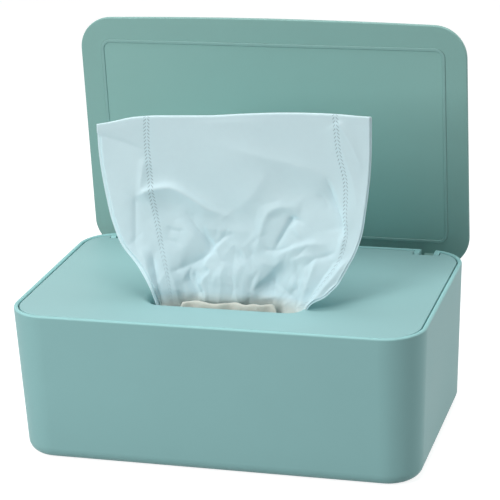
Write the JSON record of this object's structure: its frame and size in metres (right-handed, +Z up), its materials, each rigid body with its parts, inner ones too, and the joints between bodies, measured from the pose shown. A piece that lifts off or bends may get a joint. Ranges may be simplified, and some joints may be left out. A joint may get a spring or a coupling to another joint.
{
  "type": "countertop wipes dispenser",
  "caption": "Free-standing box for moist wipes: drafted tub, inset cover with a rounded slot, hinged lid held open, a stack of folded wipes and one wipe drawn out.",
  "frame": {"origin": "middle of the tub's flat base, on the surface it stands on", "axes": "+Z up, +X along the long side to the right seen from the front, -Y the front, the lid's hinge at +Y"},
  "size_m": [0.188, 0.1286, 0.1787],
  "materials": {
    "tub_plastic": "satin injection-moulded polypropylene",
    "cover_plastic": "satin injection-moulded polypropylene",
    "lid_plastic": "satin injection-moulded polypropylene",
    "seal_rubber": "soft matt ring in the lid's colour",
    "pin_steel": "plain turned pin",
    "wipe_cloth": "damp soft nonwoven"
  },
  "bodies": {
    "box": {"tub": "tub_plastic", "hinge_pin_right": "pin_steel", "hinge_pin_left": "pin_steel", "wipe_next": "wipe_cloth", "folded_wipe_01": "wipe_cloth", "folded_wipe_02": "wipe_cloth", "folded_wipe_03": "wipe_cloth", "folded_wipe_04": "wipe_cloth", "folded_wipe_05": "wipe_cloth", "folded_wipe_06": "wipe_cloth", "folded_wipe_07": "wipe_cloth", "folded_wipe_08": "wipe_cloth", "folded_wipe_09": "wipe_cloth", "folded_wipe_10": "wipe_cloth", "folded_wipe_11": "wipe_cloth", "folded_wipe_12": "wipe_cloth", "folded_wipe_13": "wipe_cloth", "folded_wipe_14": "wipe_cloth", "folded_wipe_15": "wipe_cloth", "folded_wipe_16": "wipe_cloth", "folded_wipe_17": "wipe_cloth", "folded_wipe_18": "wipe_cloth", "folded_wipe_19": "wipe_cloth", "folded_wipe_20": "wipe_cloth", "folded_wipe_21": "wipe_cloth", "folded_wipe_22": "wipe_cloth", "folded_wipe_23": "wipe_cloth"},
    "cover": {"slot_cover": "cover_plastic"},
    "lid": {"lid_shell": "lid_plastic", "lid_liner": "lid_plastic", "lid_seal": "seal_rubber"},
    "pulled_wipe": {"wipe_drawn": "wipe_cloth"}
  },
  "joints": [
    {"name": "lid_hinge", "type": "hinge", "parent": "box", "child": "lid", "pos_m": [0, 0.0564, 0.0612], "axis": [-1, 0, 0], "range_deg": [-87, 0], "deforming": ["wipe_drawn"]},
    {"name": "cover_lift", "type": "slide", "parent": "box", "child": "cover", "axis": [0, 0, 1], "range_m": [0, 0.08]},
    {"name": "wipe_pull", "type": "slide", "parent": "cover", "child": "pulled_wipe", "axis": [0, 0, 1], "range_m": [0, 0.1]}
  ]
}
